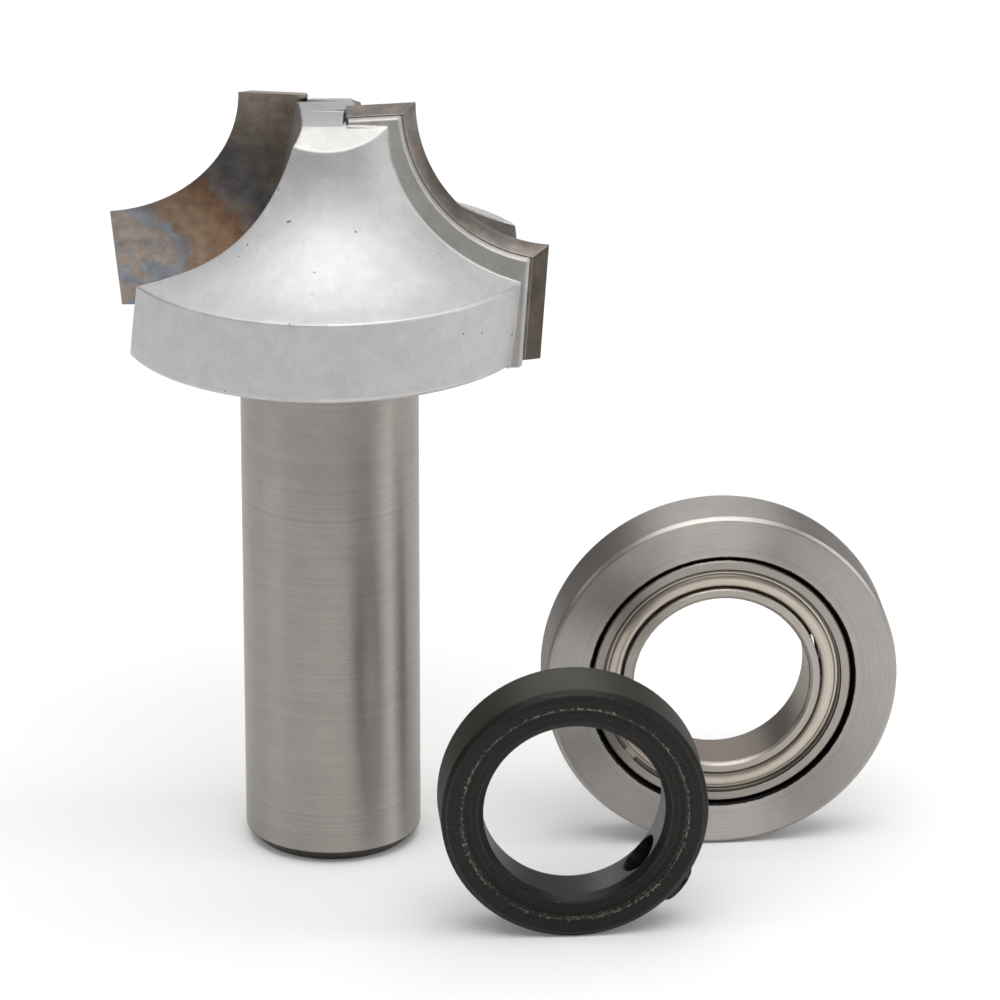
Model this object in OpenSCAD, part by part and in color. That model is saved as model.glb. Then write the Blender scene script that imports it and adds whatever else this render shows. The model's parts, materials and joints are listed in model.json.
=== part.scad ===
// Two-flute router bit with concave cutting edges, standing on its shank,
// with its guide bearing and its stop collar set down beside it.
// Origin: centre of the shank's end face, +Z up the shank.

/* [Shank] */
// Diameter of the shank
shank_d = 12.7; // [10:0.1:14]
// Length of the shank, from its end to the underside of the head
shank_len = 38.5; // [30:0.5:60]
// Chamfer on the end of the shank
shank_chamfer = 0.9; // [0.3:0.1:1.5]

/* [Head] */
// Diameter of the rim of the steel head
rim_d = 29.6; // [28:0.1:31]
// Height of the rim
rim_h = 5.8; // [4:0.1:8]
// Radius of the hollow flank above the rim
flank_r = 13.2; // [12.8:0.1:16]
// Diameter of the head where the flank meets the nose
nose_d = 10.8; // [10:0.1:12]
// Height of the nose above the underside of the head
nose_h = 16.35; // [15:0.05:17]
// Slope of the nose in front of each cutting plate
nose_slope = 24; // [15:1:35]
// Drop from the plates' tips to the ridge of the web between them
web_drop = 0.45; // [0.1:0.05:0.8]
// Chamfer on the edge under the rim
rim_chamfer = 0.25; // [0.1:0.05:0.5]

/* [Cutting plates] */
// Diameter of the cutting circle at the shoulder
cut_d = 32; // [30:0.1:34]
// Diameter of the cutting circle at the tip
tip_d = 12.7; // [12:0.1:14]
// Height of the tip above the underside of the head
tip_h = 17.5; // [17:0.1:18.5]
// Radius of the concave cutting edge
edge_r = 10; // [9:0.1:10.5]
// Length of each plate along its rake face
plate_len = 18; // [17:0.1:18.5]
// Thickness of each plate
plate_t = 1.4; // [1:0.1:1.8]
// Lean of the rake face, the shear angle
shear = 14.5; // [8:0.5:18]
// Distance of the rake face from the centre line at the tip
rake_offset = 1.13; // [0.5:0.01:2]
// Gap between the plate's inner edge and the centre line at the tip
plate_inner = 1.28; // [1:0.01:2]
// Clearance that the outer land loses over the plate's thickness
land_relief = 1.1; // [0.6:0.05:1.3]
// Clearance that the concave edge loses over the plate's thickness
edge_relief = 0.9; // [0.5:0.05:1.1]
// Clearance that the tip loses over the plate's thickness
tip_relief = 0.7; // [0.3:0.05:0.8]
// Slope of the tip's edge, down towards the centre line
tip_dish = 3.2; // [0:0.1:5]
// Thickness of the steel rib that backs each plate
rib_t = 0.35; // [0.2:0.05:0.8]
// Step from the plate's back edge down to the rib
rib_step = 0.12; // [0.05:0.01:0.3]

/* [Gullets] */
// Radius of the milled corner of the gullet
gullet_r = 6.4; // [5.5:0.1:6.8]
// Width of the gullet in front of the rake face
gullet_w = 10.4; // [9.5:0.05:11]
// Depth of the relief that the milling cutter leaves in front of the plate's seat
seat_relief = 0.35; // [0.1:0.05:0.6]
// Distance of the gullet's root from the centre line, level with the nose
gullet_root = 2; // [1.8:0.05:2.4]
// Outward run of the gullet's root for each millimetre of depth
gullet_run = 0.18; // [0.1:0.01:0.25]
// Turn of the gullet's root wall towards the plate
gullet_turn = 6; // [0:1:10]

/* [Bearing] */
// Outside diameter of the guide ring
guide_d = 25.4; // [24:0.1:30]
// Width of the guide ring
guide_w = 4.76; // [4.6:0.01:7]
// Chamfer on the edges of the guide ring
guide_chamfer = 0.3; // [0.1:0.05:0.6]
// Outside diameter of the bearing inside the guide ring
race_d = 19.05; // [18.8:0.05:19.8]
// Width of the bearing's rings
race_w = 4.5; // [4.3:0.05:4.6]
// Chamfer on the outer ring's outer edges
race_chamfer = 0.3; // [0.1:0.05:0.4]
// Inside diameter of the outer ring, beside the track
outer_land_d = 16.5; // [16.3:0.05:16.8]
// Outside diameter of the inner ring, beside the track
inner_land_d = 14.24; // [14.1:0.02:14.5]
// Diameter of the balls
ball_d = 1.5875; // [1.5:0.0125:1.6]
// Number of balls
ball_count = 14; // [8:1:16]
// Diameter of the circle that the balls run on
ball_pitch_d = 15.34; // [15.3:0.01:15.4]
// Chamfer on the bearing's bore
bore_chamfer = 0.25; // [0.1:0.05:0.4]
// Chamfer on the rings' edges beside the shields
land_chamfer = 0.06; // [0.04:0.01:0.1]

/* [Shields and cage] */
// Thickness of the shields
shield_t = 0.2; // [0.15:0.01:0.25]
// Height of the shield's pressed bulge
shield_bulge = 0.22; // [0.1:0.01:0.25]
// Distance from the ring's face to the shield's flat
shield_depth = 0.34; // [0.3:0.01:0.4]
// Radial gap between the shield and the inner ring
shield_gap = 0.16; // [0.1:0.01:0.2]
// Depth of the shield's seat in the outer ring
shield_seat = 0.42; // [0.3:0.01:0.5]
// Wire diameter of the ring that holds the shield
snap_wire = 0.26; // [0.2:0.01:0.3]
// Gap in that wire ring
snap_gap = 1.2; // [0.8:0.1:3]
// Place of that gap, clockwise round the bearing's face from its right
snap_gap_at = 140; // [0:5:355]
// Radial thickness of the cage
cage_t = 0.5; // [0.4:0.02:0.56]
// Width of the cage
cage_w = 2.5; // [2.2:0.05:2.6]

/* [Stop collar] */
// Outside diameter of the collar
collar_d = 18.8; // [18:0.1:22]
// Width of the collar
collar_w = 4.76; // [4.5:0.01:8]
// Chamfer on the collar's outer edges
collar_chamfer = 0.35; // [0.2:0.05:0.6]
// Diameter of the shallow recess turned in the collar's faces
recess_d = 15.9; // [15:0.1:16.5]
// Depth of the recess
recess_depth = 0.3; // [0.1:0.05:0.5]
// Chamfer on the collar's bore
collar_bore_chamfer = 0.45; // [0.2:0.05:0.7]
// Diameter of the set screw
screw_d = 3; // [2:0.1:3.2]
// Length of the set screw
screw_len = 2.6; // [2:0.1:3]
// How far the set screw stands out of the collar
screw_proud = 0.5; // [0:0.1:0.8]
// Diameter of the flat on the screw's point
screw_point_d = 2; // [1.6:0.1:2]
// Length of the cone behind that flat
screw_point_len = 0.5; // [0.3:0.1:0.8]
// Diameter of the cup in the screw's point
cup_d = 1; // [0.6:0.1:1.2]
// Depth of the cup in the screw's point
cup_depth = 0.25; // [0.1:0.05:0.4]
// Width across the flats of the screw's socket
socket_af = 1.5; // [1:0.1:1.6]
// Depth of the screw's socket
socket_depth = 1.1; // [0.6:0.1:1.4]
// Angle of the set screw below the horizontal
screw_angle = 41; // [30:1:60]

/* [Fits] */
// Radial clearance of the bearing's bore on the shank
bearing_fit = 0.01; // [0.005:0.005:0.03]
// Radial clearance of the collar's bore on the shank
collar_fit = 0.05; // [0.01:0.01:0.1]
// Radial gap between the guide ring and the bearing
bond_gap = 0.01; // [0.005:0.005:0.03]
// Clearance between each ball and its tracks
ball_fit = 0.01; // [0.005:0.005:0.015]
// Clearance between each ball and its cage pocket
pocket_fit = 0.06; // [0.04:0.01:0.08]
// Radial clearance of the set screw in its hole
screw_fit = 0.04; // [0.02:0.01:0.08]

/* [Places] */
// Distance of the bearing's front face to the right of the shank
bearing_x = 28.1; // [26:0.1:40]
// Distance of the bearing's front face in front of the shank's centre
bearing_front = 2.6; // [0:0.1:10]
// Turn of the bearing towards the right
bearing_turn = 5; // [0:1:12]
// Distance of the collar's front face to the right of the shank
collar_x = 17.4; // [16:0.1:24]
// Distance of the collar's front face in front of the shank's centre
collar_front = 18.8; // [18:0.1:30]
// Turn of the collar towards the right
collar_turn = 4.5; // [0:0.5:12]

/* [Hidden] */
$fn = 96;
over = 1;
shank_r = shank_d / 2;
rim_r = rim_d / 2;
cut_r = cut_d / 2;
tip_z = shank_len + tip_h;
nose_z = shank_len + nose_h;

// The hollow flank: an arc of radius flank_r through the rim's top and the nose
flank_lo = [rim_r, shank_len + rim_h];
flank_hi = [nose_d / 2, nose_z];
flank_mid = (flank_lo + flank_hi) / 2;
flank_run = flank_lo - flank_hi;
flank_back = sqrt(flank_r * flank_r - norm(flank_run) * norm(flank_run) / 4);
flank_c = flank_mid + flank_back * [-flank_run[1], flank_run[0]] / norm(flank_run);

// The plate, in its own frame: X outward, Y out of the rake face, Z up its lean
tip_x = sqrt(pow(tip_d / 2, 2) - rake_offset * rake_offset);
edge_cx = tip_x + edge_r;
shoulder_y = rake_offset + edge_r * sin(shear);
foot_y = rake_offset + plate_len * sin(shear);
shoulder_x = sqrt(cut_r * cut_r - shoulder_y * shoulder_y);
foot_x = sqrt(cut_r * cut_r - foot_y * foot_y);
land_lean = atan((shoulder_x - foot_x) / (plate_len - edge_r));
land_angle = atan(land_relief / plate_t);
tip_angle = atan(tip_relief / plate_t);
inner_lean = atan(gullet_run);
rib_y = plate_t + rib_t;
nose_y = rake_offset + (tip_z - nose_z) * tan(shear) + rib_y / cos(shear);
web_z = tip_z - web_drop;
reach = cut_r + 4;

// The bearing, in its own frame: Z along its axis, from its front face to its rear
guide_r = guide_d / 2;
race_r = race_d / 2;
race_z = (guide_w - race_w) / 2;
bearing_bore_r = shank_r + bearing_fit;
ball_r = ball_d / 2;
ball_pitch_r = ball_pitch_d / 2;
track_r = ball_r + ball_fit;
seat_r = outer_land_d / 2 + shield_seat;
shield_in_r = inner_land_d / 2 + shield_gap;
shield_z = race_z + shield_depth;
bulge_steps = 12;

// The collar, in its own frame: Z along its axis, from its front face to its rear
collar_r = collar_d / 2;
collar_bore_r = shank_r + collar_fit;
screw_r = screw_d / 2;
screw_hole_r = screw_r + screw_fit;

function two_digits(n) = n < 10 ? str("0", n) : str(n);
ball_names = [for (i = [1:ball_count]) str("ball_", two_digits(i))];

// Puts its children in the right-hand plate's frame
module in_plate_frame() {
    translate([0, -rake_offset, tip_z]) rotate([-shear, 0, 0]) children();
}

// Repeats its children for both flutes, half a turn apart
module both_flutes() {
    for (turn = [0, 180]) rotate([0, 0, turn]) children();
}

// The turned blank of the head
module head_blank() {
    rotate_extrude() difference() {
        polygon([[0, shank_len], [rim_r - rim_chamfer, shank_len], [rim_r, shank_len + rim_chamfer],
            flank_lo, [rim_r, nose_z], [0, nose_z]]);
        translate(flank_c) circle(r = flank_r, $fn = 128);
    }
}

// Takes the sloping nose off the half of the head that backs the right-hand plate
module nose_cut() {
    translate([0, -nose_y, nose_z]) rotate([nose_slope, 0, 0])
        translate([-reach, -reach, 0]) cube([2 * reach, reach, reach]);
}

// Everything outside the plate's outline, seen square to its rake face: the
// outer land, the concave edge and the tip, each sloping back from the rake face
module outside_of_edge(step, depth) {
    slope = edge_relief / plate_t;
    translate([edge_cx, 0, 0]) rotate([90, 0, 0]) translate([0, 0, -over])
        cylinder(h = depth + 2 * over, r1 = edge_r + step - over * slope,
            r2 = edge_r + step + (depth + over) * slope, $fn = 160);
    translate([shoulder_x - step, 0, -edge_r]) rotate([0, land_lean, 0]) rotate([0, 0, -land_angle])
        translate([0, -reach, -reach]) cube([reach, 2 * reach, reach + edge_r / 2]);
    translate([tip_x, 0, -step]) rotate([0, -tip_dish, 0]) rotate([tip_angle, 0, 0])
        translate([-reach, -reach, 0]) cube([2 * reach, 2 * reach, reach]);
}

// A slab parallel to the rake face, from the plate's inner edge outward
module plate_slab(y_front, y_back, x_in, bottom) {
    intersection() {
        translate([-reach, -y_back, -bottom]) cube([2 * reach, y_back - y_front, bottom + over]);
        translate([x_in, 0, 0]) rotate([0, -inner_lean, 0])
            translate([0, -reach, -2 * reach]) cube([2 * reach, 2 * reach, 3 * reach]);
    }
}

// One carbide plate, in its own frame
module plate() {
    difference() {
        plate_slab(0, plate_t, plate_inner, plate_len);
        outside_of_edge(0, plate_t);
    }
}

// The steel rib behind a plate, in the plate's frame
module rib() {
    difference() {
        plate_slab(plate_t, rib_y, plate_inner, 2 * reach);
        outside_of_edge(rib_step, rib_y);
    }
}

// One half of the web between the plates: a low roof that slopes down to the nose,
// and ends level with the other plate's rake face behind
module web() {
    rear_z = web_z - (web_z - nose_z) * rake_offset / nose_y;
    translate([-plate_inner - gullet_root, 0, 0]) rotate([90, 0, 90])
        linear_extrude(height = 2 * plate_inner + gullet_root)
            polygon([[-nose_y, nose_z - over], [-nose_y, nose_z], [0, web_z], [rake_offset, rear_z],
                [rake_offset, nose_z - over]]);
}

// The milled gullet in front of a rake face, in the plate's frame
module gullet() {
    intersection() {
        translate([-reach, -seat_relief, -3 * reach]) cube([3 * reach, 2 * reach, 4 * reach]);
        translate([gullet_root + gullet_r, gullet_w - gullet_r, nose_z - tip_z])
            rotate([0, -inner_lean, 0]) translate([0, 0, -2 * reach]) {
                cylinder(h = 3 * reach, r = gullet_r);
                translate([0, -reach, 0]) cube([2 * reach, reach + gullet_r, 3 * reach]);
                rotate([0, 0, gullet_turn]) translate([-gullet_r, -reach, 0])
                    cube([2 * gullet_r, reach, 3 * reach]);
            }
    }
}

module cutter_body() {
    color("silver") {
        difference() {
            union() {
                difference() {
                    head_blank();
                    both_flutes() nose_cut();
                }
                intersection() {
                    both_flutes() in_plate_frame() rib();
                    translate([0, 0, shank_len]) cylinder(h = reach, r = cut_r);
                }
                web();
                rotate([0, 0, 180]) web();
            }
            both_flutes() in_plate_frame() gullet();
            both_flutes() in_plate_frame() plate_slab(0, plate_t, plate_inner, 2 * reach);
        }
        cylinder(h = shank_chamfer, r1 = shank_r - shank_chamfer, r2 = shank_r);
        translate([0, 0, shank_chamfer]) cylinder(h = shank_len - shank_chamfer, r = shank_r);
    }
}

module carbide_tip_right() {
    color("dimgray") in_plate_frame() plate();
}

module carbide_tip_left() {
    color("saddlebrown") rotate([0, 0, 180]) in_plate_frame() plate();
}

// Stands a ring on its rim: its axis level, its front face to the front
module stand_ring(x, front, turn, ring_r) {
    translate([x, -front, ring_r]) rotate([0, 0, turn]) rotate([-90, 0, 0]) children();
}

module in_bearing() {
    stand_ring(bearing_x, bearing_front, bearing_turn, guide_r) children();
}

module in_collar() {
    stand_ring(collar_x, collar_front, collar_turn, collar_r) children();
}

// A ring turned from a chamfered bar
module chamfered_ring(r_in, r_out, w, c_in, c_out) {
    rotate_extrude() polygon([[r_in + c_in, 0], [r_out - c_out, 0], [r_out, c_out], [r_out, w - c_out],
        [r_out - c_out, w], [r_in + c_in, w], [r_in, w - c_in], [r_in, c_in]]);
}

// The groove that the balls run in
module ball_track() {
    translate([0, 0, guide_w / 2]) rotate_extrude()
        translate([ball_pitch_r, 0]) circle(r = track_r, $fn = 48);
}

module guide_ring() {
    color("lightgray") in_bearing() chamfered_ring(race_r + bond_gap, guide_r, guide_w, guide_chamfer / 2,
        guide_chamfer);
}

module outer_race() {
    color("gainsboro") in_bearing() difference() {
        translate([0, 0, race_z]) chamfered_ring(outer_land_d / 2, race_r, race_w, land_chamfer,
            race_chamfer);
        ball_track();
        for (z = [race_z - over, guide_w - shield_z - shield_t])
            translate([0, 0, z]) cylinder(h = over + shield_depth + shield_t, r = seat_r);
    }
}

module inner_race() {
    color("gainsboro") in_bearing() difference() {
        translate([0, 0, race_z]) chamfered_ring(bearing_bore_r, inner_land_d / 2, race_w,
            bore_chamfer, land_chamfer);
        ball_track();
    }
}

// A pressed shield, its flat seated in the outer ring and its bulge outward
module shield() {
    mid_r = (shield_in_r + outer_land_d / 2) / 2;
    bulge_r = (outer_land_d / 2 - shield_in_r) / 2;
    turn = 180 / bulge_steps;
    translate([0, 0, shield_z]) rotate_extrude() polygon(concat(
        [[seat_r, shield_t], [seat_r, 0], [outer_land_d / 2, 0]],
        [for (i = [1:bulge_steps]) [mid_r + bulge_r * cos(i * turn), -shield_bulge * sin(i * turn)]],
        [for (i = [bulge_steps:-1:1])
            [mid_r + bulge_r * cos(i * turn), shield_t - shield_bulge * sin(i * turn)]],
        [[outer_land_d / 2, shield_t]]));
}

// The sprung wire that holds a shield, open over a short gap
module snap_ring() {
    gap_angle = snap_gap / seat_r * 180 / PI;
    translate([0, 0, shield_z - snap_wire / 2]) rotate([0, 0, snap_gap_at + gap_angle / 2])
        rotate_extrude(angle = 360 - gap_angle)
            translate([seat_r - snap_wire / 2, 0]) circle(d = snap_wire, $fn = 16);
}

// Turns a bearing piece from the front face to the rear face
module at_rear() {
    translate([0, 0, guide_w]) mirror([0, 0, 1]) children();
}

module front_shield() { color("antiquewhite") in_bearing() shield(); }

module rear_shield() { color("antiquewhite") in_bearing() at_rear() shield(); }

module front_snap_ring() { color("gray") in_bearing() snap_ring(); }

module rear_snap_ring() { color("gray") in_bearing() at_rear() snap_ring(); }

module ball_place(i) {
    rotate([0, 0, i * 360 / ball_count]) translate([ball_pitch_r, 0, guide_w / 2]) children();
}

module ball_cage() {
    color("peru") in_bearing() difference() {
        translate([0, 0, (guide_w - cage_w) / 2]) difference() {
            cylinder(h = cage_w, r = ball_pitch_r + cage_t / 2);
            translate([0, 0, -over]) cylinder(h = cage_w + 2 * over, r = ball_pitch_r - cage_t / 2);
        }
        for (i = [1:ball_count]) ball_place(i) rotate([0, 90, 0])
            cylinder(h = 2 * cage_t, r = ball_r + pocket_fit, center = true, $fn = 48);
    }
}

module ball(i) {
    color("whitesmoke") in_bearing() ball_place(i) sphere(r = ball_r, $fn = 32);
}

// Puts its children on the set screw's axis, Z outward from the collar's centre
module on_screw_axis() {
    translate([0, 0, collar_w / 2]) rotate([0, 0, screw_angle]) rotate([0, 90, 0]) children();
}

module stop_collar() {
    color("dimgray") in_collar() difference() {
        chamfered_ring(collar_bore_r, collar_r, collar_w, 0, collar_chamfer);
        for (z = [-over, collar_w - recess_depth])
            translate([0, 0, z]) cylinder(h = over + recess_depth, d = recess_d);
        translate([0, 0, recess_depth]) cylinder(h = collar_bore_chamfer,
            r1 = collar_bore_r + collar_bore_chamfer, r2 = collar_bore_r);
        translate([0, 0, collar_w - recess_depth - collar_bore_chamfer]) cylinder(h = collar_bore_chamfer,
            r1 = collar_bore_r, r2 = collar_bore_r + collar_bore_chamfer);
        on_screw_axis() cylinder(h = reach, r = screw_hole_r, $fn = 48);
    }
}

module set_screw() {
    top = collar_r + screw_proud;
    point = top - screw_len;
    color("black") in_collar() on_screw_axis() difference() {
        union() {
            translate([0, 0, point]) cylinder(h = screw_point_len, d1 = screw_point_d, d2 = screw_d);
            translate([0, 0, point + screw_point_len]) cylinder(h = screw_len - screw_point_len, d = screw_d);
        }
        translate([0, 0, top - socket_depth])
            cylinder(h = socket_depth + over, d = socket_af / cos(30), $fn = 6);
        translate([0, 0, point - over]) cylinder(h = over + cup_depth, d = cup_d);
    }
}

cutter_body();
carbide_tip_right();
carbide_tip_left();
guide_ring();
outer_race();
inner_race();
front_shield();
rear_shield();
front_snap_ring();
rear_snap_ring();
ball_cage();
stop_collar();
set_screw();
for (i = [1:ball_count]) {
    ball(i);
}
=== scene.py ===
# %% [markdown]
# # A router bit, its guide bearing and its stop collar
# The bit stands on its shank. Its bearing and its collar, which slide onto the
# shank in use, stand beside it on their rims. The solids come from the CAD frame,
# and this lesson gives them their edges, their finishes and their light.

# %% Load the frame
import json
import math

import bmesh
import bpy
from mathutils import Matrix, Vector


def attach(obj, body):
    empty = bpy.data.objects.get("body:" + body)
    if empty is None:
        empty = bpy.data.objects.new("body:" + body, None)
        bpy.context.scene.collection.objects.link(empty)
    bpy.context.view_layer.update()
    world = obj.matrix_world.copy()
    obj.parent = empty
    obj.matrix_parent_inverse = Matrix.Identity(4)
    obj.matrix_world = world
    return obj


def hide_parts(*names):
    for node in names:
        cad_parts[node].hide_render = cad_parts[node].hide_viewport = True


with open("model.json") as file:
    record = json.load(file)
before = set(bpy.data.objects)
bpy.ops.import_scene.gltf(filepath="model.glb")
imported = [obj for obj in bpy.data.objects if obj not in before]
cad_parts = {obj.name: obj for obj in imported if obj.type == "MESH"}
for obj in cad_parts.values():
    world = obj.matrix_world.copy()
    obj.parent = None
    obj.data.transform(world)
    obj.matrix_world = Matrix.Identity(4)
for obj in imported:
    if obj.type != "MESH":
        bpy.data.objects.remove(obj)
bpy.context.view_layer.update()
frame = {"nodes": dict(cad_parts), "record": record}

MM = 0.001

# %% [markdown]
# ## The camera
# The photograph was taken from about half a metre, looking down by 21 degrees.
# A long lens at that distance gives the slight convergence that it shows.

# %% The camera
LOOK_DOWN = 21.17
LENS_MM = 247.05
cam_data = bpy.data.cameras.new("camera")
cam_data.sensor_width = 36
cam_data.lens = LENS_MM
cam_data.clip_start = 0.05
camera = bpy.data.objects.new("camera", cam_data)
camera.location = (0.012128, -0.45802, 0.20312)
camera.rotation_euler = (math.radians(90 - LOOK_DOWN), 0, 0)
bpy.context.collection.objects.link(camera)
bpy.context.scene.camera = camera
bpy.context.scene.view_settings.view_transform = "Standard"
print("camera at", tuple(camera.location))

# %% [markdown]
# ## Helpers for materials
# Colours are written as sRGB hex, the way a colour picker shows them, and turned
# to linear once, here. The second helper adds any node, with its settings, its
# links and, on a ramp, its stops. The third starts a material from its name and
# the shader's own numbers.

# %% Helpers for materials
def linear(hex_colour):
    channels = [int(hex_colour[i:i + 2], 16) / 255 for i in (1, 3, 5)]
    return (*[c / 12.92 if c <= 0.04045 else ((c + 0.055) / 1.055) ** 2.4 for c in channels], 1)


def add(tree, kind, inputs=None, stops=(), **settings):
    """Inputs are values, or sockets to link. Stops are places from 0 to 1 with their hex colours."""
    node = tree.nodes.new(kind)
    for name, value in settings.items():
        setattr(node, name, value)
    for name, value in (inputs or {}).items():
        if isinstance(value, bpy.types.NodeSocket):
            tree.links.new(value, node.inputs[name])
        else:
            node.inputs[name].default_value = value
    while stops and len(node.color_ramp.elements) < len(stops):
        node.color_ramp.elements.new(0.5)
    for element, (place, colour) in zip(node.color_ramp.elements if stops else (), stops):
        element.position = place
        element.color = linear(colour)
    return node


def new_material(name, **surface):
    material = bpy.data.materials.new(name)
    material.use_nodes = True
    tree = material.node_tree
    shader = tree.nodes["Principled BSDF"]
    for socket, value in surface.items():
        shader.inputs[socket.replace("_", " ")].default_value = value
    return material, tree, shader


print("#808080 is", round(linear("#808080")[0], 3), "in linear light")

# %% [markdown]
# Every finish here ends alike: a colour, and a fine relief that follows a pattern.
# A pattern's scale is worked out from the size of its features in millimetres.

# %% Colour and relief
def per_metre(size_mm):
    return 1 / (size_mm * MM)


def dress(tree, shader, colour, height, depth_mm):
    bump = add(tree, "ShaderNodeBump", {"Height": height, "Distance": depth_mm * MM, "Strength": 1.0})
    tree.links.new(colour, shader.inputs["Base Color"])
    tree.links.new(bump.outputs["Normal"], shader.inputs["Normal"])


print("features of 2 mm take a scale of", round(per_metre(2)))

# %% [markdown]
# ## Turned and ground surfaces
# A lathe or a grinder leaves fine lines round the axis. They spread a highlight
# across themselves: up and down on a shank, and along the radius on a ring's face,
# where it shows as bright and dark wedges. The shader does this with its
# anisotropy, if it is told the direction across the lines. That direction is the
# cross product of the normal and the way round the axis, so one recipe serves the
# shank, the ring's rim and the ring's face.

# %% Coordinates round an axis
def lathe(tree, centre, axis):
    """Sockets: the direction across the lines, the radius, the place along the axis."""
    place = add(tree, "ShaderNodeTexCoord").outputs
    arm = add(tree, "ShaderNodeVectorMath", {0: place["Object"], 1: centre}, operation="SUBTRACT")
    around = add(tree, "ShaderNodeVectorMath", {0: axis, 1: arm.outputs[0]}, operation="CROSS_PRODUCT")
    across = add(tree, "ShaderNodeVectorMath", {0: place["Normal"], 1: around.outputs[0]},
                 operation="CROSS_PRODUCT")
    in_world = add(tree, "ShaderNodeVectorTransform", {0: across.outputs[0]}, vector_type="VECTOR",
                   convert_from="OBJECT", convert_to="WORLD")
    radius = add(tree, "ShaderNodeVectorMath", {0: around.outputs[0]}, operation="LENGTH")
    along = add(tree, "ShaderNodeVectorMath", {0: arm.outputs[0], 1: axis}, operation="DOT_PRODUCT")
    return in_world.outputs[0], radius.outputs["Value"], along.outputs["Value"]


def tool_lines(tree, radius, along, spacing_mm):
    """Noise that changes only across the lines, with features of the given spacing."""
    place = add(tree, "ShaderNodeCombineXYZ", {0: radius, 1: along})
    lines = add(tree, "ShaderNodeTexNoise", {"Vector": place.outputs[0], "Scale": per_metre(spacing_mm),
                                             "Detail": 3.0, "Roughness": 0.7})
    return lines.outputs["Fac"]


SHANK_AXIS = (Vector((0, 0, 0)), Vector((0, 0, 1)))
spin = next(j for j in frame["record"]["behaviour"]["joints"] if j["name"] == "inner_race_spin")
BEARING_AXIS = (Vector(spin["pos_m"]), Vector(spin["axis"]))
bore = next(m for m in frame["record"]["mounts"] if m["name"] == "collar_bore")
COLLAR_AXIS = (Vector(bore["pos_m"]), Vector(bore["axis"]))
print("bearing's centre:", tuple(round(v, 4) for v in BEARING_AXIS[0]))

# %% [markdown]
# ## Blasted steel
# The head is carbon steel, blasted with fine grit after milling. That leaves a
# matt, silver-grey skin: a metal with a high roughness, clouds about 2 mm wide
# where the grit fell unevenly, grain near 0.1 mm, and a few dark pits. The grain
# is drawn at 0.12 mm, because finer grain wouldn't show at this distance. Other
# colours and depths of the same recipe give the head's other places: the painted
# shade on the shank's chamfer, the rib behind a plate, the milled web, the milled
# gullets with painted shade, and the edges that wear has rubbed bright.

# %% Blasted steel
PIT = "#85827f"
PIT_HEIGHT = -2.0


def blasted_steel(name, dark, pale, rough, grain_mm):
    """The grain's depth is in millimetres, and a pit's height is a multiple of it."""
    material, tree, shader = new_material(name, Metallic=1, Roughness=rough)
    place = add(tree, "ShaderNodeTexCoord").outputs["Object"]
    clouds = add(tree, "ShaderNodeTexNoise", {"Vector": place, "Scale": per_metre(1.7), "Detail": 7.0,
                                              "Roughness": 0.75})
    grain = add(tree, "ShaderNodeTexNoise", {"Vector": place, "Scale": per_metre(0.12), "Detail": 2.0})
    pits = add(tree, "ShaderNodeTexNoise", {"Vector": place, "Scale": per_metre(0.55), "Detail": 1.0})
    tone = add(tree, "ShaderNodeMath", {0: grain.outputs["Fac"], 1: 0.5, 2: clouds.outputs["Fac"]},
               operation="MULTIPLY_ADD")
    skin = add(tree, "ShaderNodeValToRGB", {"Fac": tone.outputs[0]}, [(0.55, dark), (0.95, pale)])
    in_pit = add(tree, "ShaderNodeMapRange", {"Value": pits.outputs["Fac"], "From Min": 0.79,
                                              "From Max": 0.81})
    colour = add(tree, "ShaderNodeMix", {"Factor": in_pit.outputs[0], "A": skin.outputs["Color"],
                                         "B": linear(PIT)}, data_type="RGBA")
    height = add(tree, "ShaderNodeMath", {0: in_pit.outputs[0], 1: PIT_HEIGHT, 2: grain.outputs["Fac"]},
                 operation="MULTIPLY_ADD")
    dress(tree, shader, colour.outputs[2], height.outputs[0], grain_mm)
    return material


BLASTED = blasted_steel("blasted_steel", "#bdbdbf", "#cecdcc", rough=0.57, grain_mm=0.012)
# The chamfer at the shank's foot takes this dark copy: painted shade.
CHAMFER_SHADE = blasted_steel("chamfer_painted_shade", "#3a3836", "#4a4744", rough=0.5, grain_mm=0.01)
GROUND_RIB = blasted_steel("ground_rib", "#adaba8", "#c2c0bc", rough=0.5, grain_mm=0.008)
MILLED_WEB = blasted_steel("milled_web", "#a9a9aa", "#bababa", rough=0.55, grain_mm=0.01)
# The gullets take a darker copy of the blasted steel: painted shade in the recesses.
GULLET_SHADE = blasted_steel("gullet_painted_shade", "#7f7c7a", "#a3a09e", rough=0.5, grain_mm=0.02)
RUBBED = blasted_steel("rubbed_edge", "#cdccca", "#d9d8d5", rough=0.55, grain_mm=0.006)
print("blasted steel:", len(BLASTED.node_tree.nodes), "nodes")

# %% [markdown]
# ## Ground and turned steel
# The shank is ground between wheels, and the rings are turned and ground. All are
# plain steel with lines round the axis. The lines are a few hundredths of a
# millimetre apart on the real ones, and are drawn at 0.08 mm or more so that they
# show. They also stain the colour a little. A ring of another colour with a ragged
# edge can be laid on too, such as the painted shade in the joint round the bearing.

# %% Ground and turned steel
RAGGED_MM = 0.12


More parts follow.
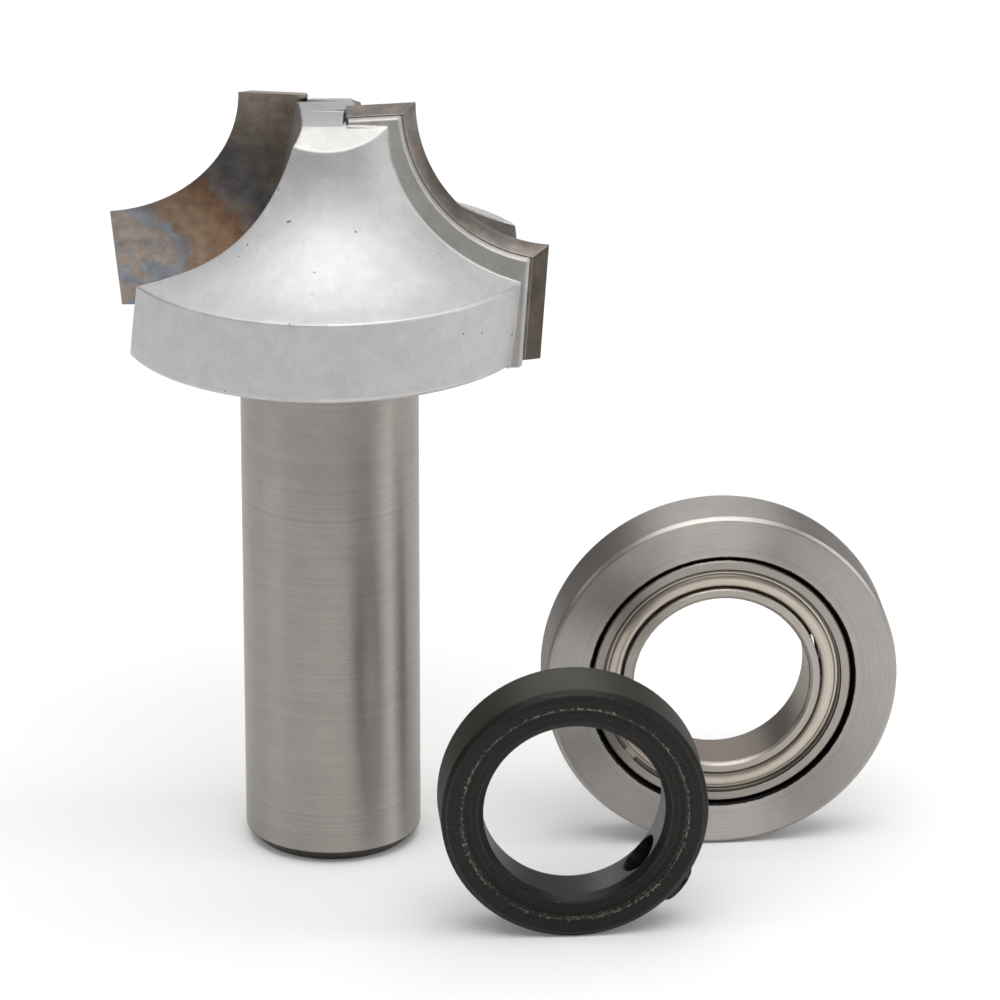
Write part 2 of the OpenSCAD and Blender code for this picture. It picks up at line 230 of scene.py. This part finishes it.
def lined_steel(name, axis, dark, pale, rough, spread, lines_mm, depth_mm, stain_and_shade_rings=()):
    """Spread is how far the lines draw a highlight out. Each of the rings is two radii in millimetres and a
    colour, and the joint's dark ring is painted shade.
    """
    material, tree, shader = new_material(name, Metallic=1, Roughness=rough, Anisotropic=spread)
    across, radius, along = lathe(tree, *axis)
    tree.links.new(across, shader.inputs["Tangent"])
    lines = tool_lines(tree, radius, along, lines_mm)
    place = add(tree, "ShaderNodeTexCoord").outputs["Object"]
    haze = add(tree, "ShaderNodeTexNoise", {"Vector": place, "Scale": per_metre(2.2), "Detail": 6.0,
                                            "Roughness": 0.7})
    tone = add(tree, "ShaderNodeMath", {0: haze.outputs["Fac"], 1: 0.5, 2: lines}, operation="MULTIPLY_ADD")
    ground = add(tree, "ShaderNodeValToRGB", {"Fac": tone.outputs[0]}, [(0.5, dark), (1.0, pale)])
    colour = ground.outputs["Color"]
    ragged = add(tree, "ShaderNodeTexNoise", {"Vector": place, "Scale": per_metre(0.3), "Detail": 3.0})
    edge = add(tree, "ShaderNodeMath", {0: ragged.outputs["Fac"], 1: RAGGED_MM * MM, 2: radius},
               operation="MULTIPLY_ADD")
    # A ring is a stain, or the painted shade in the bearing's joint.
    for inner, outer, ring_colour in stain_and_shade_rings:
        reach = 0.5 * (outer - inner) * MM
        # The noise is one half on average, so half the raggedness is added to keep the ring in place.
        middle = 0.5 * (outer + inner) * MM + 0.5 * RAGGED_MM * MM
        off = add(tree, "ShaderNodeMath", {0: edge.outputs[0], 1: middle}, operation="SUBTRACT")
        away = add(tree, "ShaderNodeMath", {0: off.outputs[0]}, operation="ABSOLUTE")
        inside = add(tree, "ShaderNodeMapRange", {"Value": away.outputs[0], "From Min": reach,
                                                  "From Max": 0.8 * reach})
        ringed = add(tree, "ShaderNodeMix", {"Factor": inside.outputs[0], "A": colour, "B": linear(ring_colour)},
                      data_type="RGBA")
        colour = ringed.outputs[2]
    dress(tree, shader, colour, lines, depth_mm)
    return material


# The dark ring in the joint between the guide ring and the outer race is painted shade in the gap.
PAINTED_JOINT_SHADE = (9.3, 9.72, "#161514")
BORE_EDGE = (6.2, 6.45, "#857c74")
SHANK_STEEL = lined_steel("ground_shank", SHANK_AXIS, "#9f9a95", "#b4aea8", rough=0.45, spread=0.85,
                          lines_mm=0.08, depth_mm=0.0004)
TURNED = lined_steel("turned_steel", BEARING_AXIS, "#bab6b2", "#d6d1cd", rough=0.5, spread=1.0,
                     lines_mm=0.08, depth_mm=0.0006, stain_and_shade_rings=[PAINTED_JOINT_SHADE])
RING_RIM = lined_steel("ring_rim", BEARING_AXIS, "#8e8a87", "#a39f9c", rough=0.5, spread=0.9,
                       lines_mm=0.1, depth_mm=0.0008, stain_and_shade_rings=[PAINTED_JOINT_SHADE])
RING_EDGE = lined_steel("ring_edge", BEARING_AXIS, "#9b9793", "#aba7a3", rough=0.34, spread=0.4,
                        lines_mm=0.1, depth_mm=0.0004, stain_and_shade_rings=[PAINTED_JOINT_SHADE])
RACE_STEEL = lined_steel("bearing_steel", BEARING_AXIS, "#968f8a", "#aca6a0", rough=0.36, spread=0.7,
                         lines_mm=0.09, depth_mm=0.0006, stain_and_shade_rings=[PAINTED_JOINT_SHADE])
INNER_STEEL = lined_steel("inner_ring_steel", BEARING_AXIS, "#a9a29b", "#bdb6af", rough=0.4, spread=0.7,
                          lines_mm=0.09, depth_mm=0.0006, stain_and_shade_rings=[BORE_EDGE])
SHIELD_STEEL = lined_steel("shield_steel", BEARING_AXIS, "#b6ada1", "#cac1b5", rough=0.33, spread=0.2,
                           lines_mm=0.16, depth_mm=0.0004)
CAGE_STEEL = lined_steel("cage_steel", BEARING_AXIS, "#93908c", "#a8a4a0", rough=0.35, spread=0.3,
                         lines_mm=0.2, depth_mm=0.0004)
print("turned steel:", len(TURNED.node_tree.nodes), "nodes")

# %% [markdown]
# ## Black oxide
# The collar and its screw are blackened in a hot salt bath. The film is thin, so
# the turning lines show through it, and it is worn to bright steel in specks. On
# the collar's face a burr was rubbed off, which left a broken ring of them.

# %% Black oxide
BARE_STEEL = "#7b7770"
BURR = (7.7, 8.0, 8.3)
NO_BURR = (20.0, 21.0, 22.0)
BURR_WEAR = 0.32


def black_oxide(name, dark, pale, rough, wear, burr=BURR):
    """The burr's radii in millimetres: where its ring of specks starts, is densest and ends."""
    material, tree, shader = new_material(name, Metallic=1, Roughness=rough, Anisotropic=0.5)
    across, radius, along = lathe(tree, *COLLAR_AXIS)
    tree.links.new(across, shader.inputs["Tangent"])
    lines = tool_lines(tree, radius, along, 0.14)
    place = add(tree, "ShaderNodeTexCoord").outputs["Object"]
    specks = add(tree, "ShaderNodeTexNoise", {"Vector": place, "Scale": per_metre(0.22), "Detail": 4.0,
                                              "Roughness": 0.65})
    film = add(tree, "ShaderNodeValToRGB", {"Fac": lines}, [(0.3, dark), (0.7, pale)])
    start, peak, end = [size * MM for size in burr]
    rise = add(tree, "ShaderNodeMapRange", {"Value": radius, "From Min": start, "From Max": peak},
               interpolation_type="SMOOTHSTEP")
    fall = add(tree, "ShaderNodeMapRange", {"Value": radius, "From Min": peak, "From Max": end},
               interpolation_type="SMOOTHSTEP")
    ring = add(tree, "ShaderNodeMath", {0: rise.outputs[0], 1: fall.outputs[0]}, operation="SUBTRACT")
    patches = add(tree, "ShaderNodeTexNoise", {"Vector": place, "Scale": per_metre(4.0), "Detail": 1.0})
    patchy = add(tree, "ShaderNodeMath", {0: ring.outputs[0], 1: patches.outputs["Fac"]},
                 operation="MULTIPLY")
    reach = add(tree, "ShaderNodeMath", {0: patchy.outputs[0], 1: BURR_WEAR, 2: specks.outputs["Fac"]},
                operation="MULTIPLY_ADD")
    bare = add(tree, "ShaderNodeMapRange", {"Value": reach.outputs[0], "From Min": 1 - wear,
                                            "From Max": 1.12 - wear})
    colour = add(tree, "ShaderNodeMix", {"Factor": bare.outputs[0], "A": film.outputs["Color"],
                                         "B": linear(BARE_STEEL)}, data_type="RGBA")
    dress(tree, shader, colour.outputs[2], specks.outputs["Fac"], 0.012)
    return material


BLACKENED = black_oxide("black_oxide", "#292928", "#363534", rough=0.45, wear=0.34)
WORN_EDGE = black_oxide("worn_oxide", "#31312f", "#484743", rough=0.42, wear=0.38)
THIN_FILM = black_oxide("thin_oxide", "#4f4f53", "#66666b", rough=0.36, wear=0.36)
RUBBED_RIM = black_oxide("rubbed_oxide", "#41413e", "#52514b", rough=0.5, wear=0.32)
print("black oxide:", len(BLACKENED.node_tree.nodes), "nodes")

# %% [markdown]
# ## Carbide
# The plates are tungsten carbide, ground flat and then brazed on with a torch. The
# heat left tints on the rake face: bands of straw, brown, blue and grey that follow
# how hot each place became. So the tint is a ramp of colours along one measure, the
# distance from the cool outer corner, which noise bends as a flame would. The
# patterns lie on the plate's own coordinates, level with its sheared face.

# %% The plates' own coordinates
SHEAR = math.radians(14.5)
TIP = Vector((0, 1.13, 56.0)) * MM


def plate_place(tree, turned):
    """Millimetres on the left plate: X outward from the axis, Z down the rake face."""
    place = add(tree, "ShaderNodeTexCoord").outputs["Object"]
    half_turn = add(tree, "ShaderNodeMapping", {"Vector": place,
                                                "Rotation": (0, 0, math.pi if turned else 0)})
    tilt = add(tree, "ShaderNodeMapping", {"Vector": half_turn.outputs[0], "Location": -TIP},
               vector_type="POINT")
    level = add(tree, "ShaderNodeMapping", {"Vector": tilt.outputs[0], "Rotation": (SHEAR, 0, 0),
                                            "Scale": (-1 / MM, 1 / MM, -1 / MM)})
    return level.outputs[0]


print("carbide plates lean by", round(math.degrees(SHEAR), 1), "degrees")

# %% [markdown]
# The ramp below runs from the cool corner towards the hot neck. Where the plate
# stayed coolest, a second noise adds the thin blue-grey blotches, and a fine one
# mottles everything as smoke does.

# %% Heat-tinted carbide
COOL_CORNER = (16.0, 0.0, 14.0)
FLAME_REACH = 5.0
BLUE_GREY = "#888c92"
TINTS = [
    (0.0, "#a3988e"), (0.2, "#988d83"), (0.235, "#848a92"), (0.265, "#8a7765"), (0.33, "#937d69"),
    (0.40, "#93765f"), (0.435, "#8a6c58"), (0.47, "#867b72"), (0.55, "#7d7c81"), (0.66, "#9d958b"),
    (0.8, "#b4a797"), (1.0, "#a49e97"),
]


def heat_tinted_carbide(name, turned):
    material, tree, shader = new_material(name, Metallic=1, Roughness=0.36)
    place = plate_place(tree, turned)
    flame = add(tree, "ShaderNodeTexNoise", {"Vector": place, "Scale": 0.34, "Detail": 4.0,
                                             "Roughness": 0.6, "Distortion": 0.6})
    arm = add(tree, "ShaderNodeVectorMath", {0: place, 1: COOL_CORNER}, operation="SUBTRACT")
    flat = add(tree, "ShaderNodeVectorMath", {0: arm.outputs[0], 1: (1, 0, 1.05)}, operation="MULTIPLY")
    distance = add(tree, "ShaderNodeVectorMath", {0: flat.outputs[0]}, operation="LENGTH")
    bent = add(tree, "ShaderNodeMath", {0: flame.outputs["Fac"], 1: FLAME_REACH,
                                        2: distance.outputs["Value"]}, operation="MULTIPLY_ADD")
    heat = add(tree, "ShaderNodeMapRange", {"Value": bent.outputs[0], "From Min": 2.5, "From Max": 24.5})
    tint = add(tree, "ShaderNodeValToRGB", {"Fac": heat.outputs[0]}, TINTS)
    blotch = add(tree, "ShaderNodeTexNoise", {"Vector": place, "Scale": 0.36, "Detail": 3.0,
                                              "Roughness": 0.6, "Distortion": 1.2})
    blue = add(tree, "ShaderNodeMapRange", {"Value": blotch.outputs["Fac"], "From Min": 0.52,
                                            "From Max": 0.57})
    cool = add(tree, "ShaderNodeMapRange", {"Value": heat.outputs[0], "From Min": 0.26, "From Max": 0.2})
    both = add(tree, "ShaderNodeMath", {0: blue.outputs[0], 1: cool.outputs[0]}, operation="MULTIPLY")
    tinted = add(tree, "ShaderNodeMix", {"Factor": both.outputs[0], "A": tint.outputs["Color"],
                                         "B": linear(BLUE_GREY)}, data_type="RGBA")
    fine = add(tree, "ShaderNodeTexNoise", {"Vector": place, "Scale": 0.9, "Detail": 5.0,
                                            "Roughness": 0.6})
    smoke = add(tree, "ShaderNodeValToRGB", {"Fac": fine.outputs["Fac"]},
                [(0.35, "#d2d2d4"), (0.65, "#ffffff")])
    mottled = add(tree, "ShaderNodeMix", {"Factor": 1.0, "A": tinted.outputs[2],
                                          "B": smoke.outputs["Color"]},
                  data_type="RGBA", blend_type="MULTIPLY")
    dress(tree, shader, mottled.outputs[2], fine.outputs["Fac"], 0.001)
    return material


print("heat tints:", len(TINTS), "colours")

# %% [markdown]
# The plates' edges were ground after brazing, so they have no tint. The wheel left
# marks a few hundredths of a millimetre apart that slant across the edge. They are
# drawn 0.2 mm apart, so that they show.

# %% Ground carbide
WHEEL_SLANT = math.radians(35)


def ground_carbide(name, dark, pale, rough, turned):
    material, tree, shader = new_material(name, Metallic=1, Roughness=rough)
    place = plate_place(tree, turned)
    slant = add(tree, "ShaderNodeMapping", {"Vector": place, "Rotation": (0, WHEEL_SLANT, 0),
                                            "Scale": (5.0, 1.5, 1.5)})
    marks = add(tree, "ShaderNodeTexNoise", {"Vector": slant.outputs[0], "Scale": 1.0, "Detail": 4.0,
                                             "Roughness": 0.6})
    clouds = add(tree, "ShaderNodeTexNoise", {"Vector": place, "Scale": 0.7, "Detail": 4.0,
                                              "Roughness": 0.6})
    tone = add(tree, "ShaderNodeMath", {0: marks.outputs["Fac"], 1: 0.3, 2: clouds.outputs["Fac"]},
               operation="MULTIPLY_ADD")
    colour = add(tree, "ShaderNodeValToRGB", {"Fac": tone.outputs[0]}, [(0.5, dark), (0.8, pale)])
    dress(tree, shader, colour.outputs["Color"], marks.outputs["Fac"], 0.001)
    return material


print("wheel marks slant by", round(math.degrees(WHEEL_SLANT)), "degrees")

# %% [markdown]
# ## Softened edges
# No edge on the real bit is perfectly sharp: blasting rounds the steel, and a fine
# wheel leaves the carbide with a narrow bright line. So the pieces that show their
# edges are copied, their loose triangles are merged, and each corner sharper than
# 25 degrees is bevelled. The copy stands in for the CAD piece, which stays for
# collision. Each face is asked for its finish, and the bevel's own faces may take
# another. A Weighted Normal modifier keeps the flat faces flat up to the bevels.

# %% Softened edges
CORNER = math.radians(25)
CREASE = math.radians(35)


def softened(node, width_mm, segments, finishes, choose, on_edge=None, crisp=None):
    """Choose and on_edge give a face its finish, and crisp keeps an edge out of the bevel."""
    source = frame["nodes"][node]
    shape = bmesh.new()
    shape.from_mesh(source.data)
    bmesh.ops.remove_doubles(shape, verts=shape.verts, dist=0.001 * MM)
    bmesh.ops.dissolve_limit(shape, angle_limit=math.radians(0.05), verts=shape.verts, edges=shape.edges)
    for face in shape.faces:
        face.material_index = finishes.index(choose(face))
    corners = [edge for edge in shape.edges if edge.calc_face_angle(0) > CORNER]
    if crisp:
        corners = [edge for edge in corners if not crisp(edge)]
    rounded = bmesh.ops.bevel(shape, geom=corners, offset=width_mm * MM, offset_type="OFFSET",
                              segments=segments, profile=0.5, affect="EDGES", clamp_overlap=False,
                              material=-1)
    for face in rounded["faces"]:
        worn = on_edge(face) if on_edge else None
        if worn:
            face.material_index = finishes.index(worn)
    bmesh.ops.triangulate(shape, faces=[face for face in shape.faces if len(face.verts) > 4])
    for face in shape.faces:
        face.smooth = True
    for edge in shape.edges:
        edge.smooth = edge.calc_face_angle(0) < CREASE
    mesh = bpy.data.meshes.new(node + "_soft")
    shape.to_mesh(mesh)
    shape.free()
    piece = bpy.data.objects.new(node + "_soft", mesh)
    bpy.context.collection.objects.link(piece)
    for finish in finishes:
        mesh.materials.append(finish)
    flats = piece.modifiers.new("flat_faces", "WEIGHTED_NORMAL")
    flats.keep_sharp = True
    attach(piece, "fixed_parts")
    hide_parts(node)
    print(node, "softened:", len(mesh.polygons), "faces,", len(corners), "corners")


print("corners over", round(math.degrees(CORNER)), "degrees are rounded")

# %% [markdown]
# ## Where the cutter's finishes lie
# The cutter's body is one turned and milled piece with seven finishes. Each lies
# where a process left it, so a face's finish follows from its height, from the way
# it looks, and from how far it lies behind the nearer plate's rake face. The two
# halves are alike, so a point on the left is first turned half round the axis.

# %% Heights and places on the cutter
SHANK_CHAMFER = 0.9 * MM
HEAD_FOOT = 38.5 * MM
SHANK_TOP = HEAD_FOOT - 0.01 * MM
SHOULDER = 46.4 * MM
GULLET_TOP = 48.0 * MM
NOSE_FLAT = 52.0 * MM
NOSE = 54.85 * MM
WEB_ROOF = NOSE + 0.02 * MM
GULLET_CORE = 5.2 * MM
GULLET_REACH = 7.0 * MM
WEB_HALF = 1.4 * MM
PLATE_BACK = -1.4 * MM
SLACK = 0.03 * MM
RIB_BACK = -1.78 * MM
RIB_FRONT = -1.36 * MM
WORN_BACK = -4.0 * MM


def behind_rake(point):
    """A point's place across the nearer plate: 0 on its rake face, and minus behind it."""
    side = point if point.x > 0 else Vector((-point.x, -point.y, point.z))
    return (side.y + TIP.y) * math.cos(SHEAR) - (side.z - TIP.z) * math.sin(SHEAR)


print("a plate's back lies", round(-PLATE_BACK / MM, 2), "mm behind its rake face")

# %% [markdown]
# ## The cutter's body
# Below the head everything is the ground shank, with painted shade on its chamfer.
# The roof of the web between the plates was milled, and so were the gullets, which
# are painted darker as shade. The nose and the far edges are rubbed bright. The brazing along a
# plate's back fills that corner, so no round is cut there.

# %% The cutter's body
def in_gullet(face, middle):
    """A gullet's walls face round the axis, and the curve between them lies well inside the rim."""
    if abs(face.normal.z) > 0.5 or behind_rake(middle) < RIB_FRONT:
        return False
    radius = middle.xy.length
    if radius < GULLET_CORE and middle.z < NOSE_FLAT:
        return True
    round_axis = abs(middle.xy.normalized().cross(face.normal.xy))
    return round_axis > 0.6 or (radius < GULLET_REACH and middle.z < GULLET_TOP)


def body_finish(face):
    middle = face.calc_center_median()
    if middle.z > HEAD_FOOT and RIB_BACK < behind_rake(middle) < RIB_FRONT:
        return GROUND_RIB
    # The chamfer at the foot is painted dark, as shade.
    if middle.z < SHANK_CHAMFER and abs(face.normal.z) < 0.95:
        return CHAMFER_SHADE
    if middle.z < SHANK_TOP:
        return SHANK_STEEL
    if middle.z > WEB_ROOF and abs(face.normal.x) < 0.5 and abs(middle.x) < WEB_HALF:
        return MILLED_WEB
    if face.normal.z > 0.7 and middle.z > NOSE_FLAT:
        return RUBBED
    # A gullet face is painted darker, as shade in the recess.
    return GULLET_SHADE if in_gullet(face, middle) else BLASTED


def body_edge(face):
    middle = face.calc_center_median()
    return RUBBED if middle.z > HEAD_FOOT and behind_rake(middle) < WORN_BACK else None


def along_plate(edge):
    ends = [end.co for end in edge.verts]
    return all(end.z > HEAD_FOOT and abs(behind_rake(end) - PLATE_BACK) < SLACK for end in ends)


BODY_FINISHES = [BLASTED, SHANK_STEEL, MILLED_WEB, CHAMFER_SHADE, GROUND_RIB, GULLET_SHADE, RUBBED]
softened("cutter_body", width_mm=0.14, segments=3, finishes=BODY_FINISHES, choose=body_finish,
         on_edge=body_edge, crisp=along_plate)

# %% [markdown]
# ## The carbide plates
# Each plate has its tinted rake face in front, and ground edges. The land at its
# outer end is darker, and a narrow honed line runs along every corner.

# %% The carbide plates
def plate_finish(face, rake, edge, land):
    middle = face.calc_center_median()
    ahead = 1 if middle.x > 0 else -1
    if face.normal.y * ahead > 0.9:
        return rake
    return land if abs(face.normal.x) > 0.7 and middle.z < SHOULDER else edge


for node, turned in (("carbide_tip_left", False), ("carbide_tip_right", True)):
    rake = heat_tinted_carbide(node + "_rake", turned)
    edge = ground_carbide(node + "_edge", "#7b7774", "#9b9087", 0.42, turned)
    honed = ground_carbide(node + "_honed", "#8b8783", "#9a9691", 0.4, turned)
    land = ground_carbide(node + "_land", "#4b453f", "#5d544b", 0.4, turned)
    softened(node, width_mm=0.035, segments=2, finishes=[rake, edge, honed, land],
             choose=lambda face: plate_finish(face, rake, edge, land), on_edge=lambda face: honed)

# %% [markdown]
# ## The guide ring
# The ring's two faces lie across its axis and its rim along it, and a narrow
# chamfer joins them. Each was turned in a pass of its own, so each has its finish.

# %% The guide ring
def ring_finish(face):
    facing = abs(face.normal.dot(BEARING_AXIS[1]))
    if facing > 0.95:
        return TURNED
    return RING_RIM if facing < 0.3 else RING_EDGE


softened("guide_ring", width_mm=0.06, segments=2, finishes=[TURNED, RING_RIM, RING_EDGE],
         choose=ring_finish)

# %% [markdown]
# ## The stop collar
# The shank rubs the collar's bore, so the film is thin there. Handling has rubbed
# the rim a little, and worn the edges.

# %% The stop collar
BORE_RADIUS = 7.0 * MM


def collar_finish(face):
    centre, axis = COLLAR_AXIS
    if abs(face.normal.dot(axis)) > 0.5:
        return BLACKENED
    arm = face.calc_center_median() - centre
    return THIN_FILM if (arm - arm.dot(axis) * axis).length < BORE_RADIUS else RUBBED_RIM


softened("stop_collar", width_mm=0.06, segments=2, finishes=[BLACKENED, WORN_EDGE, THIN_FILM, RUBBED_RIM],
         choose=collar_finish, on_edge=lambda face: WORN_EDGE)

# %% [markdown]
# ## The small pieces
# The other pieces keep their CAD meshes and only take a finish. The wire rings are
# drawn steel, the balls are polished, and the screw is blackened like the collar.

# %% Finishes of the small pieces
WIRE = lined_steel("spring_wire", BEARING_AXIS, "#57524d", "#6f6963", rough=0.3, spread=0.0,
                   lines_mm=0.3, depth_mm=0.0004)
BALL_STEEL = lined_steel("ball_steel", BEARING_AXIS, "#c9c9c9", "#d6d6d6", rough=0.08, spread=0.0,
                         lines_mm=1.0, depth_mm=0.0001)
SCREW = black_oxide("blackened_screw", "#2b2b2c", "#3a3a3a", rough=0.34, wear=0.3, burr=NO_BURR)
FINISHES = {
    "outer_race": RACE_STEEL, "inner_race": INNER_STEEL, "front_shield": SHIELD_STEEL,
    "rear_shield": SHIELD_STEEL, "front_snap_ring": WIRE, "rear_snap_ring": WIRE,
    "ball_cage": CAGE_STEEL, "set_screw": SCREW, "cutter_body": BLASTED, "carbide_tip_left": BLASTED,
    "carbide_tip_right": BLASTED, "guide_ring": TURNED, "stop_collar": BLACKENED,
}
for name, piece in frame["nodes"].items():
    for slot in piece.material_slots:
        slot.material = FINISHES.get(name, BALL_STEEL)
print(len(frame["nodes"]), "nodes finished")

# %% [markdown]
# ## The floor
# The floor is a plain white sheet. It glows a little for the camera and for
# mirrored rays, which makes it white without more light on the parts.

# %% The floor
def white_sheet():
    material, tree, shader = new_material("white_floor", Base_Color=linear("#ebebeb"), Roughness=0.9)
    rays = add(tree, "ShaderNodeLightPath").outputs
    mirror = add(tree, "ShaderNodeMath", {0: rays["Is Glossy Ray"], 1: rays["Is Transmission Ray"]},
                 operation="MAXIMUM")
    seen = add(tree, "ShaderNodeMath", {0: rays["Is Camera Ray"], 1: mirror.outputs[0]},
               operation="MAXIMUM")
    glow = add(tree, "ShaderNodeEmission", {"Color": (1, 1, 1, 1), "Strength": 0.1})
    both = add(tree, "ShaderNodeAddShader", {0: shader.outputs[0], 1: glow.outputs[0]})
    pick = add(tree, "ShaderNodeMixShader", {0: seen.outputs[0], 1: shader.outputs[0], 2: both.outputs[0]})
    tree.links.new(pick.outputs[0], tree.nodes["Material Output"].inputs["Surface"])
    return material


bpy.ops.mesh.primitive_plane_add(size=6, location=(0, 0, 0))
floor = bpy.context.object
floor.name = "floor"
floor.data.materials.append(white_sheet())
print("floor:", tuple(floor.dimensions)[:2], "metres")

# %% [markdown]
# ## The light
# Most of the light falls from a wide softbox overhead, which makes the shadows
# soft. A slightly warm one high in front brightens the flank of the head. Weak
# ones on the left, on the right and behind draw the soft bands on the steel.

# %% The light
MIDDLE = Vector((0.012, 0, 0.03))


def softbox(name, azimuth, elevation, distance, size, watts, colour="#ffffff"):
    """Azimuth 0 is in front and 90 is on the right. Distance and size are in metres."""
    turn, lift = math.radians(azimuth), math.radians(elevation)
    towards = Vector((math.sin(turn) * math.cos(lift), -math.cos(turn) * math.cos(lift), math.sin(lift)))
    data = bpy.data.lights.new(name, "AREA")
    data.shape = "RECTANGLE"
    data.size, data.size_y = size
    data.energy = watts
    data.color = linear(colour)[:3]
    lamp = bpy.data.objects.new(name, data)
    lamp.location = MIDDLE + distance * towards
    lamp.rotation_euler = towards.to_track_quat("Z", "Y").to_euler()
    bpy.context.collection.objects.link(lamp)
    print(name, "softbox:", watts, "W")


softbox("overhead", azimuth=0, elevation=88, distance=0.9, size=(1.3, 1.3), watts=9.0)
softbox("front", azimuth=6, elevation=62, distance=0.9, size=(0.6, 0.45), watts=1.8, colour="#fffbf7")
softbox("left", azimuth=-80, elevation=28, distance=0.9, size=(0.4, 0.4), watts=0.7)
softbox("right", azimuth=84, elevation=24, distance=0.8, size=(0.3, 0.6), watts=1.45)
softbox("back", azimuth=180, elevation=24, distance=0.9, size=(0.9, 0.35), watts=0.9)

# %% [markdown]
# ## The room
# The room is dim in front, where the photographer stands, and has a pale wall
# behind the parts, which the tops of the rings mirror.

# %% The room
world = bpy.data.worlds.new("pale_room")
bpy.context.scene.world = world
world.use_nodes = True
tree = world.node_tree
view = add(tree, "ShaderNodeTexCoord").outputs["Generated"]
depth = add(tree, "ShaderNodeSeparateXYZ", {0: view}).outputs["Y"]
wall = add(tree, "ShaderNodeMapRange", {"Value": depth, "From Min": 0.8, "From Max": 0.97, "To Min": 0.2,
                                        "To Max": 0.6}, interpolation_type="SMOOTHSTEP")
tree.links.new(wall.outputs[0], tree.nodes["Background"].inputs["Strength"])
tree.nodes["Background"].inputs["Color"].default_value = (1, 1, 1, 1)
print("room:", len(tree.nodes), "nodes")
